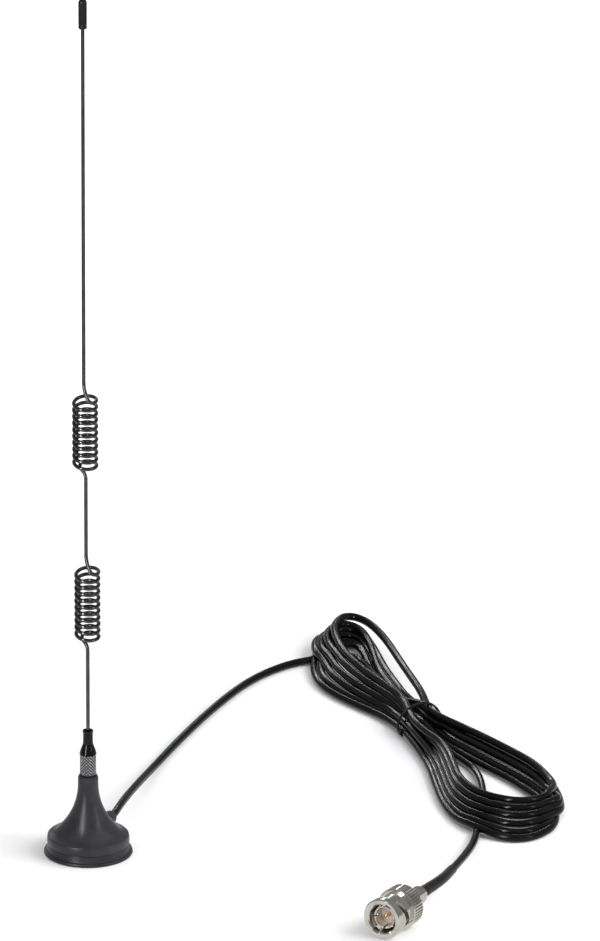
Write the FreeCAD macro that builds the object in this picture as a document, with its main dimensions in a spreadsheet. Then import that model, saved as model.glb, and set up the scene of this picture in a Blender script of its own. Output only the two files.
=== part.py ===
import FreeCAD, Part
import math
import os

import Sketcher

# A small magnetic mount whip antenna: a wire whip with two phasing coils,
# screwed into a bell shaped magnetic base, with a thin coaxial lead folded
# into a tied hank and ended in a bayonet coaxial plug.
# Millimetres. Z is up, the base stands on Z = 0 with its centre at the origin,
# and the plug and the hank lie in front and to the right of the base.

doc = FreeCAD.newDocument("MagneticMountAntenna")
sheet = doc.addObject("Spreadsheet::Sheet", "Sizes")


# Driving dimensions

DIMENSIONS = [
    # Rubber foot that the bell stands in
    ("boot_seat_radius", 13.0),
    ("boot_floor", 0.6),
    ("boot_top_wall", 0.55),
    ("boot_top_level", 3.1),
    ("boot_waist_wall", 0.75),
    ("boot_waist_level", 2.3),
    ("lip_top_wall", 1.3),
    ("lip_top_level", 1.35),
    ("lip_wall", 2.0),
    ("lip_edge", 0.35),
    # Moulded bell
    ("skirt_fit", 0.05),
    ("skirt_wall", 0.8),
    ("shell_gap", 0.3),
    ("band_overhang", 0.6),
    ("band_level", 3.5),
    ("shoulder_overhang", 0.9),
    ("shoulder_level", 4.6),
    ("shoulder_round", 2.6),
    ("crease_overhang", 0.35),
    ("crease_level", 6.2),
    ("shoulder_inset", 0.45),
    ("shoulder_top_level", 6.7),
    ("flare_inset", 1.5),
    ("flare_end_level", 7.5),
    ("flare_top_level", 25.0),
    ("neck_radius", 3.47),
    ("neck_rim_radius", 3.44),
    ("neck_rim_round", 0.3),
    ("neck_top", 27.6),
    ("shell_wall", 1.5),
    ("ceiling_edge_level", 5.3),
    # Cable boss on the bell's right rear
    ("boss_azimuth", 59.0),
    ("boss_level", 7.6),
    ("boss_radius", 2.35),
    ("boss_root_play", 0.2),
    ("boss_overhang", 2.0),
    ("boss_edge", 0.4),
    # Magnet and steel plate
    ("magnet_play", 0.15),
    ("magnet_hole", 3.0),
    ("magnet_height", 3.5),
    ("plate_thickness", 1.0),
    ("plate_hole", 2.3),
    # Brass insert and its insulating bush
    ("insert_radius", 2.6),
    ("insert_fit", 0.05),
    ("thread_radius", 1.9),
    ("thread_play", 0.08),
    ("thread_depth", 6.8),
    ("insert_flange_radius", 3.4),
    ("insert_flange", 0.9),
    ("insert_tail_radius", 1.2),
    ("insert_tail", 1.7),
    ("bush_radius", 4.0),
    ("bush_height", 1.3),
    ("bush_fit", 0.05),
    # Seal and knurled ferrule
    ("seal_radius", 3.1),
    ("seal_thickness", 0.4),
    ("stud_length", 6.0),
    ("stud_chamfer", 0.4),
    ("knurl_radius", 2.875),
    ("knurl_height", 8.0),
    ("knurl_chamfer", 0.35),
    ("cone_step", 0.1),
    ("cone_height", 3.2),
    ("stem_radius", 1.8),
    ("stem_height", 5.1),
    ("stem_chamfer", 0.3),
    ("wire_seat_depth", 10.3),
    # Whip wire and its two coils
    ("wire_radius", 0.58),
    ("wire_fit", 0.02),
    ("coil_radius", 3.7),
    ("coil_pitch", 2.345),
    ("coil_turns", 11.6),
    ("coil_start_angle", 190.0),
    ("coil_lead", 2.6),
    ("lower_coil_level", 76.2),
    ("upper_coil_level", 138.0),
    ("lower_coil_shift", -0.2),
    ("upper_coil_shift", -0.8),
    ("middle_wire_shift", -0.5),
    ("upper_wire_shift", -1.03),
    ("whip_top", 304.5),
    # Moulded tip cap
    ("cap_radius", 1.45),
    ("cap_foot_round", 0.25),
    ("cap_grip", 8.0),
    ("cap_roof", 2.6),
    # Coaxial cable
    ("cable_radius", 1.35),
    ("cable_bore_fit", 0.1),
    ("cable_strip", 4.3),
    ("lead_straight", 7.0),
    ("core_radius", 0.25),
    ("braid_radius", 0.4),
    ("braid_play", 1.0),
    # Tied hank, seen from above; near is the left side when looking from its middle to the plug
    ("hank_x", 112.0),
    ("hank_y", 103.0),
    ("hank_azimuth", -72.5),
    ("waist_rear", -14.0),
    ("waist_front", 6.0),
    ("waist_middle", 1.6),
    ("waist_half_width", 7.2),
    ("waist_height", 9.8),
    ("waist_bevel", 2.4),
    ("loop_height", 8.0),
    ("loop_bevel", 2.0),
    ("tie_radius", 0.45),
    ("tie_x", -2.5),
    ("tie_y", 1.6),
    ("tie_slant", 18.0),
    ("tie_half_width", 7.9),
    ("tie_height", 10.1),
    ("tie_corner", 3.6),
    # Bayonet plug: lengths run back from the nut's front face
    ("plug_x", 98.8),
    ("plug_y", -77.9),
    ("plug_azimuth", 60.0),
    ("floor_play", 0.05),
    ("nut_collar_radius", 7.0),
    ("nut_collar", 3.0),
    ("nut_waist_radius", 6.2),
    ("nut_ring_radius", 7.25),
    ("nut_ring_front", 9.9),
    ("nut_length", 15.7),
    ("nut_chamfer", 0.35),
    ("nut_bore", 4.95),
    ("nut_mouth_chamfer", 0.4),
    ("nut_lip_front", 13.4),
    ("nut_lip", 1.2),
    ("nut_rear_bore", 5.3),
    ("nut_start_angle", 27.0),
    ("slot_front", 3.9),
    ("slot_travel", 4.1),
    ("slot_angle", 100.0),
    ("slot_width", 2.2),
    ("detent_radius", 1.3),
    ("channel_radius", 5.8),
    ("flute_count", 44.0),
    ("flute_depth", 0.32),
    ("body_neck_radius", 3.9),
    ("body_flange_radius", 4.8),
    ("body_flange_front", 9.8),
    ("body_flange", 1.8),
    ("body_tail_radius", 4.2),
    ("body_tail_front", 15.6),
    ("body_tail_rear", 17.8),
    ("ring_groove_radius", 3.55),
    ("ring_groove", 0.55),
    ("ring_radius", 4.7),
    ("ring_gap", 1.6),
    ("ring_play", 0.02),
    ("washer_thickness", 0.5),
    ("washer_radius", 4.85),
    ("wave_thickness", 0.3),
    ("contact_radius", 4.05),
    ("contact_bore", 3.3),
    ("contact_front", 1.8),
    ("insulator_front", 5.5),
    ("pin_front", 2.6),
    ("pin_radius", 0.68),
    ("pin_nose", 0.45),
    ("wave_amplitude", 0.45),
    ("wave_count", 3.0),
    ("wave_width", 0.75),
    ("flute_width", 0.6),
    ("body_bore", 2.35),
    ("body_bore_end", 16.0),
    ("stem_bore", 0.85),
    ("stem_outer_radius", 1.45),
    ("stem_end", 27.0),
    ("contact_seat", 1.2),
    ("contact_chamfer", 0.2),
    ("contact_slot", 0.5),
    ("contact_slot_length", 4.6),
    ("contact_slot_count", 4.0),
    ("fit", 0.05),
    ("insulator_spigot", 1.4),
    ("barrel_radius", 1.1),
    ("barrel_front", 12.4),
    ("barrel_end", 15.2),
    ("barrel_socket", 2.4),
    ("dielectric_radius", 0.75),
    ("dielectric_front", 15.4),
    ("jacket_front", 27.4),
    ("gasket_thickness", 0.8),
    ("ferrule_rear", 31.0),
    ("hex_front", 19.4),
    ("hex_rear", 29.8),
    ("hex_flats", 5.2),
    ("ferrule_collar_radius", 3.0),
    ("ferrule_rim_radius", 2.65),
    ("ferrule_bore", 1.6),
    ("sleeve_front_radius", 1.95),
    ("sleeve_rear_radius", 1.6),
    ("sleeve_fit", 0.04),
    ("tail_run", 10.5),
    ("sleeve_run", 11.3),
    ("nut_lip_play", 0.1),
    ("gasket_play", 0.1),
    ("slot_overlap", 0.6),
    ("slot_count", 2.0),
    ("hex_sides", 6.0),
]

for row, (alias, value) in enumerate(DIMENSIONS, start=1):
    sheet.set("A%d" % row, alias)
    sheet.set("B%d" % row, str(value))
    sheet.setAlias("B%d" % row, alias)
doc.recompute()


# Sizes that know their own formula

class Size:
    """A number with the formula, in the sheet's names, that gives it."""

    def __init__(self, value, formula):
        self.value = value
        self.formula = formula

    def __add__(self, other):
        other = as_size(other)
        return Size(self.value + other.value, "(%s + %s)" % (self.formula, other.formula))

    def __sub__(self, other):
        other = as_size(other)
        return Size(self.value - other.value, "(%s - %s)" % (self.formula, other.formula))

    def __mul__(self, other):
        other = as_size(other)
        return Size(self.value * other.value, "(%s * %s)" % (self.formula, other.formula))

    def __truediv__(self, other):
        other = as_size(other)
        return Size(self.value / other.value, "(%s / %s)" % (self.formula, other.formula))

    def __neg__(self):
        return as_size(0) - self


def as_size(number):
    if isinstance(number, Size):
        return number
    return Size(float(number), repr(float(number)))


def root(size):
    return Size(math.sqrt(size.value), "sqrt(%s)" % size.formula)


def size(alias):
    """The sheet's cell of that name, as a size."""
    return Size(float(sheet.get(alias)), "Sizes." + alias)


def number(alias):
    """The sheet's cell of that name, as a plain number."""
    return float(sheet.get(alias))


ZERO = as_size(0)


# Sketches and bodies

def new_body(node):
    """A body whose label is the piece's own name."""
    body = doc.addObject("PartDesign::Body", "Body_" + node)
    body.Label = node
    return body


def origin_plane(body, role):
    return [o for o in body.Origin.OriginFeatures if o.Role == role][0]


def new_sketch(body, name, role, offset=None):
    """A sketch on one of the body's own planes, moved along or turned about it by offset."""
    sketch = body.newObject("Sketcher::SketchObject", name)
    sketch.AttachmentSupport = [(origin_plane(body, role), "")]
    sketch.MapMode = "FlatFace"
    if offset is not None:
        sketch.AttachmentOffset = offset
    return sketch


def arc_between(start, end, radius, turn):
    """The short arc from start to end; turn is 1 to bend left and -1 to bend right."""
    chord = end - start
    middle = (start + end) * 0.5
    rise = math.sqrt(max(radius ** 2 - (chord.Length / 2) ** 2, 0.0))
    left = FreeCAD.Vector(-chord.y, chord.x, 0).normalize()
    centre = middle + left * rise * turn
    circle = Part.Circle(centre, FreeCAD.Vector(0, 0, 1), radius)
    first, last = (start, end) if turn > 0 else (end, start)
    from_angle = math.atan2(first.y - centre.y, first.x - centre.x)
    to_angle = math.atan2(last.y - centre.y, last.x - centre.x)
    return Part.ArcOfCircle(circle, from_angle, to_angle)


def bind(sketch, constraint, formula):
    """Adds a constraint and ties its value to the sheet."""
    index = sketch.addConstraint(constraint)
    sketch.setExpression("Constraints[%d]" % index, formula)


def pin_down(sketch, geometry, end, across, up):
    """Holds one end of a line or arc at its place across and up."""
    if across is ZERO:
        sketch.addConstraint(Sketcher.Constraint("PointOnObject", geometry, end, -2))
    else:
        bind(sketch, Sketcher.Constraint("DistanceX", -1, 1, geometry, end, across.value), across.formula)
    if up is ZERO:
        sketch.addConstraint(Sketcher.Constraint("PointOnObject", geometry, end, -1))
    else:
        bind(sketch, Sketcher.Constraint("DistanceY", -1, 1, geometry, end, up.value), up.formula)


def draw_outline(sketch, outline):
    """A closed outline: each corner is (across, up), or (across, up, radius, turn) before an arc."""
    corners = [FreeCAD.Vector(c[0].value, c[1].value, 0) for c in outline]
    ends = []
    for i, corner in enumerate(outline):
        start, end = corners[i], corners[(i + 1) % len(corners)]
        if len(corner) == 4:
            radius, turn = corner[2], corner[3]
            geometry = sketch.addGeometry(arc_between(start, end, radius.value, turn), False)
            ends.append((1, 2) if turn > 0 else (2, 1))
        else:
            geometry = sketch.addGeometry(Part.LineSegment(start, end), False)
            ends.append((1, 2))
    for i in range(len(outline)):
        before = i - 1 if i else len(outline) - 1
        sketch.addConstraint(Sketcher.Constraint("Coincident", before, ends[before][1], i, ends[i][0]))
    for i, corner in enumerate(outline):
        pin_down(sketch, i, ends[i][0], corner[0], corner[1])
        if len(corner) == 4:
            bind(sketch, Sketcher.Constraint("Radius", i, corner[2].value), corner[2].formula)


def draw_circle(sketch, across, up, radius):
    centre = FreeCAD.Vector(across.value, up.value, 0)
    circle = sketch.addGeometry(Part.Circle(centre, FreeCAD.Vector(0, 0, 1), radius.value), False)
    pin_down(sketch, circle, 3, across, up)
    bind(sketch, Sketcher.Constraint("Radius", circle, radius.value), radius.formula)


def turned(node, outline):
    """A piece turned about its own Z axis from half its section, given as radius and height."""
    body = new_body(node)
    sketch = new_sketch(body, node + "_section", "XZ_Plane")
    draw_outline(sketch, outline)
    spin = body.newObject("PartDesign::Revolution", node + "_turned")
    spin.Profile = sketch
    spin.ReferenceAxis = (sketch, ["V_Axis"])
    spin.Angle = 360
    sketch.Visibility = False
    doc.recompute()
    return body


def padded(body, name, sketch, length):
    pad = body.newObject("PartDesign::Pad", name)
    pad.Profile = sketch
    pad.setExpression("Length", length.formula)
    doc.recompute()
    return pad


def pocketed(body, name, sketch, depth, forwards=False):
    """Cuts the sketch to a depth, against its normal, or along it if forwards; checks that it cut."""
    before = body.Shape.Volume
    pocket = body.newObject("PartDesign::Pocket", name)
    pocket.Profile = sketch
    pocket.Reversed = forwards
    pocket.setExpression("Length", depth.formula)
    doc.recompute()
    if not pocket.Shape.Volume < before:
        raise ValueError(name + " cut nothing")
    return pocket


def repeated(body, name, features, count):
    """Repeats features round the body's Z axis."""
    pattern = body.newObject("PartDesign::PolarPattern", name)
    pattern.Originals = features
    pattern.Axis = (origin_plane(body, "Z_Axis"), [""])
    pattern.Angle = 360
    pattern.setExpression("Occurrences", count.formula)
    body.Tip = pattern
    doc.recompute()
    return pattern


def edge_names(shape, wanted):
    return ["Edge%d" % (i + 1) for i, edge in enumerate(shape.Edges) if wanted(edge)]


def filleted(body, name, wanted, radius):
    """Rounds the edges of the body's last feature that wanted picks."""
    base = body.Tip
    fillet = body.newObject("PartDesign::Fillet", name)
    fillet.Base = (base, edge_names(base.Shape, wanted))
    fillet.setExpression("Radius", radius.formula)
    doc.recompute()
    return fillet


def place(body, x=ZERO, y=ZERO, z=ZERO, rotation=None):
    """Puts a body in its place, with the place tied to the sheet."""
    body.Placement = FreeCAD.Placement(
        FreeCAD.Vector(x.value, y.value, z.value), rotation or FreeCAD.Rotation()
    )
    for axis, coordinate in (("x", x), ("y", y), ("z", z)):
        body.setExpression("Placement.Base." + axis, coordinate.formula)


def shaped(node, shape):
    """A piece whose form is a sweep along a path in space."""
    feature = doc.addObject("Part::Feature", "Shape_" + node)
    feature.Label = node
    feature.Shape = shape
    feature.Placement = FreeCAD.Placement()
    return feature


UP = FreeCAD.Vector(0, 0, 1)


def heading(azimuth):
    """Unit vector level with the floor, at an angle from +X towards +Y."""
    return FreeCAD.Vector(math.cos(math.radians(azimuth)), math.sin(math.radians(azimuth)), 0)


def at_boss(distance, level):
    """A point over the line of the cable boss, at a distance from the base's axis."""
    return heading(number("boss_azimuth")) * distance + UP * level


# Magnetic foot

seat_radius = size("boot_seat_radius")
skirt_radius = seat_radius - size("skirt_fit")
skirt_bore = skirt_radius - size("skirt_wall")
magnet_radius = skirt_bore - size("magnet_play")
magnet_seat = size("boot_floor")
plate_seat = magnet_seat + size("magnet_height")
plate_top = plate_seat + size("plate_thickness")

foot_boot = turned("foot_boot", [
    (ZERO, ZERO),
    (seat_radius + size("lip_wall"), ZERO),
    (seat_radius + size("lip_wall"), size("lip_edge")),
    (seat_radius + size("lip_top_wall"), size("lip_top_level")),
    (seat_radius + size("boot_waist_wall"), size("boot_waist_level")),
    (seat_radius + size("boot_top_wall"), size("boot_top_level")),
    (seat_radius, size("boot_top_level")),
    (seat_radius, magnet_seat),
    (ZERO, magnet_seat),
])

magnet = turned("magnet", [
    (size("magnet_hole"), magnet_seat),
    (magnet_radius, magnet_seat),
    (magnet_radius, plate_seat),
    (size("magnet_hole"), plate_seat),
])

pole_plate = turned("pole_plate", [
    (size("plate_hole"), plate_seat),
    (magnet_radius, plate_seat),
    (magnet_radius, plate_top),
    (size("plate_hole"), plate_top),
])


# Moulded bell with its cable boss

skirt_top = size("boot_top_level") + size("shell_gap")
bore_radius = size("insert_radius") + size("insert_fit")
# The flare's arc stands upright where it meets the neck
flare_end_radius = seat_radius - size("flare_inset")
flare_width = flare_end_radius - size("neck_radius")
flare_rise = size("flare_top_level") - size("flare_end_level")
flare_round = (flare_width * flare_width + flare_rise * flare_rise) / (flare_width * 2)
flare_centre = size("neck_radius") + flare_round
inner_round = flare_round + size("shell_wall")
inner_reach = flare_centre - bore_radius
bore_foot = size("flare_top_level") - root(inner_round * inner_round - inner_reach * inner_reach)
wall_share = inner_round / flare_round
inner_end_radius = flare_centre - (flare_centre - flare_end_radius) * wall_share
inner_end_level = size("flare_top_level") - flare_rise * wall_share
rim_level = size("neck_top") - size("neck_rim_round")

base_shell = turned("base_shell", [
    (skirt_bore, magnet_seat),
    (skirt_radius, magnet_seat),
    (skirt_radius, skirt_top),
    (seat_radius + size("band_overhang"), size("band_level")),
    (seat_radius + size("shoulder_overhang"), size("shoulder_level"), size("shoulder_round"), 1),
    (seat_radius + size("crease_overhang"), size("crease_level")),
    (seat_radius - size("shoulder_inset"), size("shoulder_top_level")),
    (flare_end_radius, size("flare_end_level"), flare_round, -1),
    (size("neck_radius"), size("flare_top_level")),
    (size("neck_rim_radius"), rim_level, size("neck_rim_round"), 1),
    (size("neck_rim_radius") - size("neck_rim_round"), size("neck_top")),
    (bore_radius, size("neck_top")),
    (bore_radius, bore_foot, inner_round, 1),
    (inner_end_radius, inner_end_level),
    (skirt_bore, size("ceiling_edge_level")),
])

cable_inner_end = size("bush_radius") + size("cable_strip")
boss_root = cable_inner_end + size("boss_root_play")
boss_reach = seat_radius + size("boss_overhang")
boss_offset = FreeCAD.Placement(UP * boss_root.value, FreeCAD.Rotation())
boss_sketch = new_sketch(base_shell, "boss_section", "YZ_Plane", boss_offset)
boss_sketch.setExpression("AttachmentOffset.Base.z", boss_root.formula)
draw_circle(boss_sketch, ZERO, size("boss_level"), size("boss_radius"))
boss_pad = padded(base_shell, "boss", boss_sketch, boss_reach - boss_root)


def is_boss_rim(edge):
    centre = edge.BoundBox.Center
    return abs(centre.x - boss_reach.value) < 0.01 and edge.BoundBox.XLength < 0.01


filleted(base_shell, "boss_rim", is_boss_rim, size("boss_edge"))
bore_sketch = new_sketch(base_shell, "cable_bore_section", "YZ_Plane")
draw_circle(bore_sketch, ZERO, size("boss_level"), size("cable_radius") + size("cable_bore_fit"))
bore_start = size("insert_flange_radius")
bore_sketch.setExpression("AttachmentOffset.Base.z", bore_start.formula)
pocketed(base_shell, "cable_bore", bore_sketch, boss_reach, forwards=True)
place(base_shell, rotation=FreeCAD.Rotation(UP, number("boss_azimuth")))


# Brass insert, bush, seal

insert_seat = plate_top + size("bush_height")
thread_bore = size("thread_radius") + size("thread_play")

mast_socket = turned("mast_socket", [
    (ZERO, insert_seat - size("insert_tail")),
    (size("insert_tail_radius"), insert_seat - size("insert_tail")),
    (size("insert_tail_radius"), insert_seat),
    (size("insert_flange_radius"), insert_seat),
    (size("insert_flange_radius"), insert_seat + size("insert_flange")),
    (size("insert_radius"), insert_seat + size("insert_flange")),
    (size("insert_radius"), size("neck_top")),
    (thread_bore, size("neck_top")),
    (thread_bore, size("neck_top") - size("thread_depth")),
    (ZERO, size("neck_top") - size("thread_depth")),
])

bush_bore = size("insert_tail_radius") + size("bush_fit")
socket_bush = turned("socket_bush", [
    (bush_bore, plate_seat),
    (size("plate_hole") - size("bush_fit"), plate_seat),
    (size("plate_hole") - size("bush_fit"), plate_top),
    (size("bush_radius"), plate_top),
    (size("bush_radius"), insert_seat),
    (bush_bore, insert_seat),
])

seal_top = size("neck_top") + size("seal_thickness")
neck_seal = turned("neck_seal", [
    (thread_bore, size("neck_top")),
    (size("seal_radius"), size("neck_top")),
    (size("seal_radius"), seal_top),
    (thread_bore, seal_top),
])


# Knurled ferrule with its threaded stud

knurl_top = seal_top + size("knurl_height")
stem_foot = knurl_top + size("cone_height")
stem_top = stem_foot + size("stem_height")
stud_foot = seal_top - size("stud_length")
wire_seat = stem_top - size("wire_seat_depth")
wire_bore = size("wire_radius") + size("wire_fit")

mast_ferrule = turned("mast_ferrule", [
    (ZERO, stud_foot),
    (size("thread_radius") - size("stud_chamfer"), stud_foot),
    (size("thread_radius"), stud_foot + size("stud_chamfer")),
    (size("thread_radius"), seal_top),
    (size("knurl_radius") - size("knurl_chamfer"), seal_top),
    (size("knurl_radius"), seal_top + size("knurl_chamfer")),
    (size("knurl_radius"), knurl_top - size("cone_step")),
    (size("knurl_radius") - size("cone_step"), knurl_top),
    (size("stem_radius"), stem_foot),
    (size("stem_radius"), stem_top - size("stem_chamfer")),
    (size("stem_radius") - size("stem_chamfer"), stem_top),
    (wire_bore, stem_top),
    (wire_bore, wire_seat),
    (ZERO, wire_seat),
])


# Whip: one wire, wound left handed into two coils on its way up

def coil_point(centre_x, level, angle):
    """A point on a coil's centre line; the wire climbs as the angle falls from its start."""
    wound = math.radians(number("coil_start_angle") - angle)
    radius = number("coil_radius")
    return FreeCAD.Vector(
        centre_x + radius * math.cos(math.radians(angle)),
        radius * math.sin(math.radians(angle)),
        level + number("coil_pitch") * wound / (2 * math.pi),
    )


def coil_direction(angle):
    """The way the wire runs there, climbing."""
    radius = number("coil_radius")
    run = FreeCAD.Vector(
        radius * math.sin(math.radians(angle)),
        -radius * math.cos(math.radians(angle)),
        number("coil_pitch") / (2 * math.pi),
    )
    return run.normalize()


def curve_between(start, start_way, end, end_way, reach):
    """One smooth bend that leaves and arrives along the given ways."""
    curve = Part.BezierCurve()
    curve.setPoles([start, start + start_way * reach, end - end_way * reach, end])
    return curve.toShape()


def coil_edge(centre_x, level):
    """The helix itself, from its start angle."""
    height = number("coil_pitch") * number("coil_turns")
    helix = Part.makeHelix(number("coil_pitch"), height, number("coil_radius"), 0, True)
    helix.Placement = FreeCAD.Placement(
        FreeCAD.Vector(centre_x, 0, level), FreeCAD.Rotation(UP, number("coil_start_angle"))
    )
    return helix.Edges[0]


def coiled_stretch(below_x, centre_x, above_x, level):
    """Lead in, coil and lead out, from the wire below to the wire above."""
    lead = number("coil_lead")
    first_angle = number("coil_start_angle")
    last_angle = first_angle - 360 * number("coil_turns")
    foot = coil_point(centre_x, level, first_angle)
    head = coil_point(centre_x, level, last_angle)
    below = FreeCAD.Vector(below_x, 0, foot.z - lead)
    above = FreeCAD.Vector(above_x, 0, head.z + lead)
    return below, above, [
        curve_between(below, UP, foot, coil_direction(first_angle), lead * 0.62),
        coil_edge(centre_x, level),
        curve_between(head, coil_direction(last_angle), above, UP, lead * 0.62),
    ]


def swept_round(edges, start, way, radius):
    """A round rod along joined edges, which start at start in the direction way."""
    ring = Part.Wire([Part.Circle(start, way, radius).toShape()])
    return Part.Wire(edges).makePipeShell([ring], True, False)


whip_foot = FreeCAD.Vector(0, 0, wire_seat.value)
whip_head = FreeCAD.Vector(number("upper_wire_shift"), 0, number("whip_top"))
lower_in, lower_out, lower_coil = coiled_stretch(
    0, number("lower_coil_shift"), number("middle_wire_shift"), number("lower_coil_level")
)
upper_in, upper_out, upper_coil = coiled_stretch(
    number("middle_wire_shift"), number("upper_coil_shift"), number("upper_wire_shift"),
    number("upper_coil_level"),
)
whip_path = (
    [Part.LineSegment(whip_foot, lower_in).toShape()]
    + lower_coil
    + [Part.LineSegment(lower_out, upper_in).toShape()]
    + upper_coil
    + [Part.LineSegment(upper_out, whip_head).toShape()]
)
whip = shaped("whip", swept_round(whip_path, whip_foot, UP, number("wire_radius")))


# Tip cap

cap_foot = size("whip_top") - size("cap_grip")
cap_top = size("whip_top") + size("cap_roof")
tip_cap = turned("tip_cap", [
    (wire_bore, cap_foot),
    (size("cap_radius") - size("cap_foot_round"), cap_foot, size("cap_foot_round"), 1),
    (size("cap_radius"), cap_foot + size("cap_foot_round")),
    (size("cap_radius"), cap_top - size("cap_radius"), size("cap_radius"), 1),
    (ZERO, cap_top),
    (ZERO, size("whip_top")),
    (wire_bore, size("whip_top")),
])
place(tip_cap, x=size("upper_wire_shift"))


# Cable: runs joined by tangent arcs as large as the runs allow

def rounded_route(name, points):
    """Edges along the route, and its first point and direction; prints the tightest arc."""
    cuts = []
    radii = []
    for before, corner, after in zip(points, points[1:], points[2:]):
        back = (before - corner)
        on = (after - corner)
        half_turn = (math.pi - back.getAngle(on)) / 2
        cut = 0.45 * min(back.Length, on.Length)
        radii.append(cut / math.tan(half_turn))
        inner = corner + (back.normalize() + on.normalize()).normalize() * (
            radii[-1] / math.cos(half_turn) - radii[-1]
        )
        cuts.append((corner + back * cut, inner, corner + on * cut))
    edges = []
    at = points[0]
    for first, middle, last in cuts:
        edges.append(Part.LineSegment(at, first).toShape())
        edges.append(Part.Arc(first, middle, last).toShape())
        at = last
    edges.append(Part.LineSegment(at, points[-1]).toShape())
    print(name, "arc radii", [round(r, 1) for r in radii])
    return edges


def cord(node, points, radius):
    """A tube along a route, with its volume tested against section times length."""
    edges = rounded_route(node, points)
    length = sum(edge.Length for edge in edges)
    tube = swept_round(edges, points[0], points[1] - points[0], radius)
    expected = math.pi * radius ** 2 * length
    if abs(tube.Volume / expected - 1) > 0.01:
        raise ValueError(node + " tube has the wrong volume")
    print(node, "length", round(length, 1))
    return shaped(node, tube)


LEAD_ROUTE = [
    (15.6, 44.5, 5.5),
    (21.9, 73.5, 1.9),
    (30.4, 99.5, 1.4),
    (41.5, 128.0, 1.4),
    (53.8, 154.0, 1.4),
    (66.5, 169.0, 1.4),
    (76.5, 174.0, 1.4),
]
lead_points = [
    at_boss(cable_inner_end.value, number("boss_level")),
    at_boss(boss_reach.value + number("lead_straight"), number("boss_level")),
] + [FreeCAD.Vector(*p) for p in LEAD_ROUTE]
cable_lead = cord("cable_lead", lead_points, number("cable_radius"))

core_end = at_boss(number("insert_radius"), number("boss_level"))
core_wire = doc.addObject("Part::Cylinder", "Cylinder_core_wire")
core_wire.Label = "core_wire"
core_wire.setExpression("Radius", "Sizes.core_radius")
core_wire.setExpression("Height", (cable_inner_end - size("insert_radius")).formula)
core_wire.Placement = FreeCAD.Placement(core_end, FreeCAD.Rotation(UP, heading(number("boss_azimuth"))))

# Shares of the way in towards the bush, and of the way down to the plate
BRAID_ROUTE = [(0.0, 0.4), (0.3, 0.47), (0.64, 1.0), (1.0, 1.0)]
braid_run = number("cable_strip") - number("braid_play")
braid_drop = number("boss_level") - plate_top.value - number("braid_radius")
braid_points = [
    at_boss(cable_inner_end.value - along * braid_run, number("boss_level") - down * braid_drop)
    for along, down in BRAID_ROUTE
]
ground_braid = cord("ground_braid", braid_points, number("braid_radius"))


# Hank: seven turns of the cable, folded and tied round the waist

hank_turn = FreeCAD.Rotation(UP, number("hank_azimuth"))
# The outermost strand's centre line, once round the hank
HANK_OUTLINE = [
    (-6.0, -3.8),
    (11.4, -3.9),
    (25.4, -4.8),
    (43.7, -8.4),
    (62.0, -11.1),
    (75.0, -10.9),
    (85.0, -8.2),
    (94.5, -2.2),
    (98.6, 4.5),
    (97.1, 11.8),
    (91.0, 18.2),
    (81.0, 24.0),
    (70.0, 28.2),
    (58.0, 29.6),
    (46.0, 28.0),
    (33.0, 24.2),
    (20.0, 19.6),
    (9.0, 15.6),
    (-1.0, 11.0),
    (-12.0, 8.2),
    (-30.0, 9.4),
    (-61.0, 12.2),
    (-83.0, 12.2),
    (-92.5, 9.6),
    (-97.4, 4.2),
    (-96.4, -2.4),
    (-90.4, -8.5),
    (-80.0, -13.0),
    (-68.3, -16.4),
    (-57.7, -18.2),
    (-48.0, -17.4),
    (-36.0, -13.0),
    (-20.3, -6.6),
]
# The opening between the front loop's strands
HANK_OPENING = [
    (34.0, 3.5),
    (40.0, 9.5),
    (46.0, 14.0),
    (56.0, 17.7),
    (66.0, 19.3),
    (74.0, 17.5),
    (77.5, 13.0),
    (76.0, 7.0),
    (70.0, 2.2),
    (60.0, -0.6),
    (46.0, 0.2),
]


def closed_line(route, steps, outwards):
    """Points of a smooth closed line through the route, moved outwards from it."""
    line = Part.BSplineCurve()
    line.interpolate(Points=[FreeCAD.Vector(x, y, 0) for x, y in route], PeriodicFlag=True)
    points = []
    for step in range(steps):
        at = line.FirstParameter + (line.LastParameter - line.FirstParameter) * step / steps
        points.append(line.value(at) + line.tangent(at)[0].cross(UP).normalize() * outwards)
    return points


def flat_slab(points, height):
    """A slab that lies on the floor, with the given outline."""
    outline = Part.Wire(Part.makePolygon(points + points[:1]))
    return Part.Face(outline).extrude(UP * height)


def bevelled(slab, bevel):
    """The slab with its top and bottom edges bevelled."""
    level = [edge for edge in slab.Edges if edge.BoundBox.ZLength < 0.01]
    return slab.makeChamfer(bevel, level)


waist_outline = [
    FreeCAD.Vector(number("waist_rear"), number("waist_middle") - number("waist_half_width"), 0),
    FreeCAD.Vector(number("waist_front"), number("waist_middle") - number("waist_half_width"), 0),
    FreeCAD.Vector(number("waist_front"), number("waist_middle") + number("waist_half_width"), 0),
    FreeCAD.Vector(number("waist_rear"), number("waist_middle") + number("waist_half_width"), 0),
]
OUTLINE_STEPS = 64
OPENING_STEPS = 24
waist_slab = bevelled(flat_slab(waist_outline, number("waist_height")), number("waist_bevel"))
hank_outline = closed_line(HANK_OUTLINE, OUTLINE_STEPS, number("cable_radius"))
hank_opening = closed_line(HANK_OPENING, OPENING_STEPS, 0)
loops = bevelled(flat_slab(hank_outline, number("loop_height")), number("loop_bevel"))
loops = loops.cut(flat_slab(hank_opening, number("loop_height")))
hank_shape = waist_slab.fuse(loops).removeSplitter()
if len(hank_shape.Solids) != 1 or not hank_shape.isValid():
    raise ValueError("the hank isn't one valid solid")
cable_hank = shaped("cable_hank", hank_shape)
cable_hank.Placement = FreeCAD.Placement(
    FreeCAD.Vector(number("hank_x"), number("hank_y"), 0), hank_turn
)


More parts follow.
